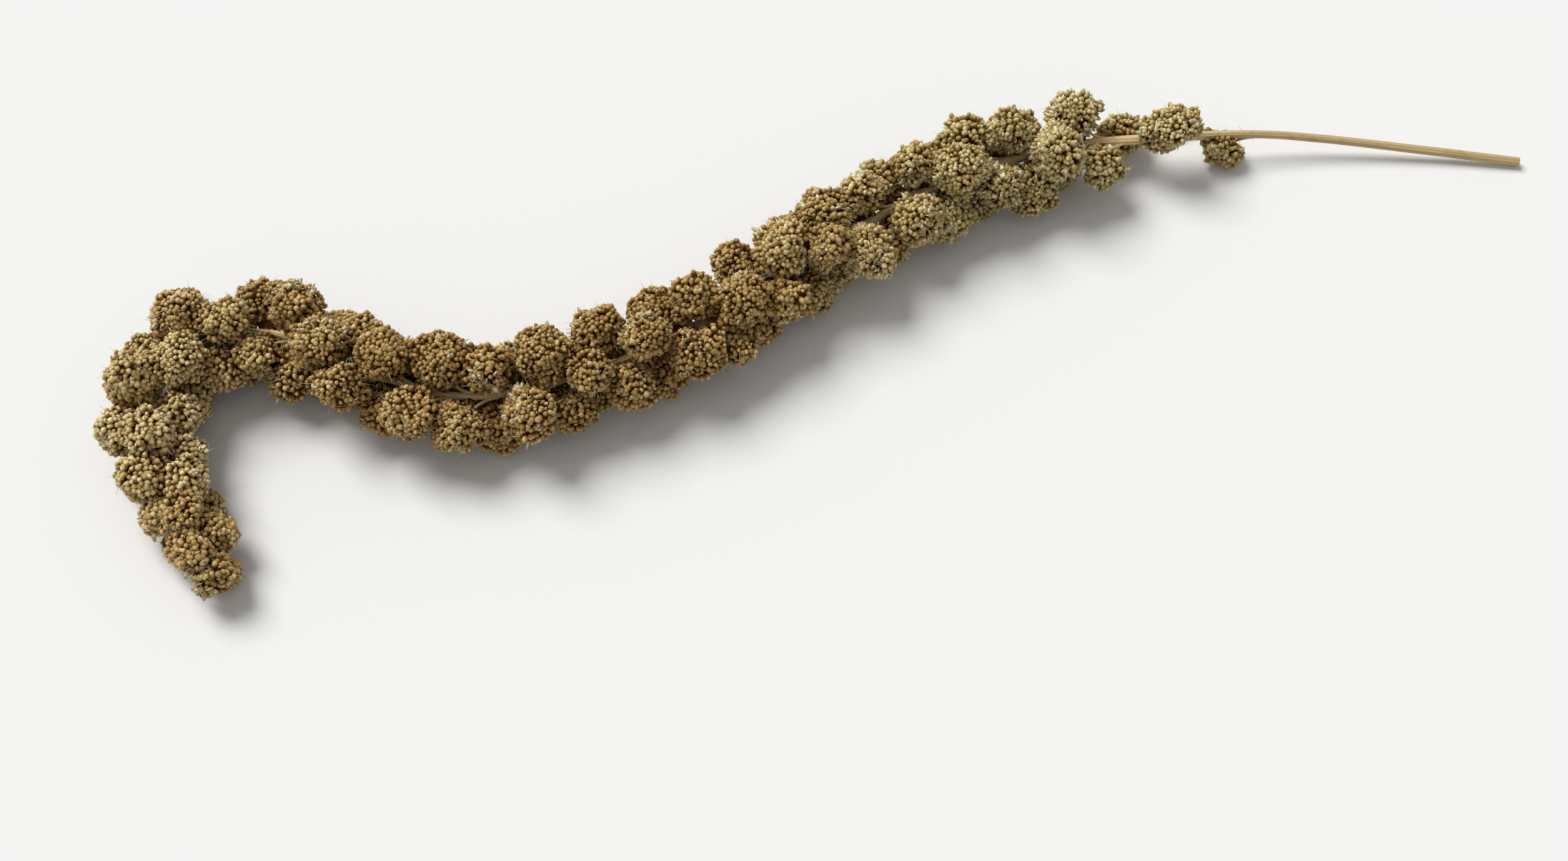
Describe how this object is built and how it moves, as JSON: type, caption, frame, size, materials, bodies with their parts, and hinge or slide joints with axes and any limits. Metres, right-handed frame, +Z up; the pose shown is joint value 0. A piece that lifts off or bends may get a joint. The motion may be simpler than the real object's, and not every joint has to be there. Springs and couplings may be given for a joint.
{
  "type": "millet seed head",
  "caption": "Dried spray of foxtail millet with a cut bare stem: round lobes of seeds along a curved rachis, lying on a surface.",
  "frame": {"origin": "centre of the outline on the surface that the spray lies on", "axes": "+X along the spray's length, from the tip end towards the cut end of the stem; +Z up, out of the surface"},
  "size_m": [0.4004, 0.1556, 0.031],
  "materials": {
    "millet_seed": "dry hulled seeds, satin on each hull, with dark gaps, fine bristles and pale papery scales",
    "straw": "dry straw, satin, finely grooved lengthwise"
  },
  "bodies": {
    "root": {"head": "millet_seed", "stem": "straw"}
  },
  "joints": []
}
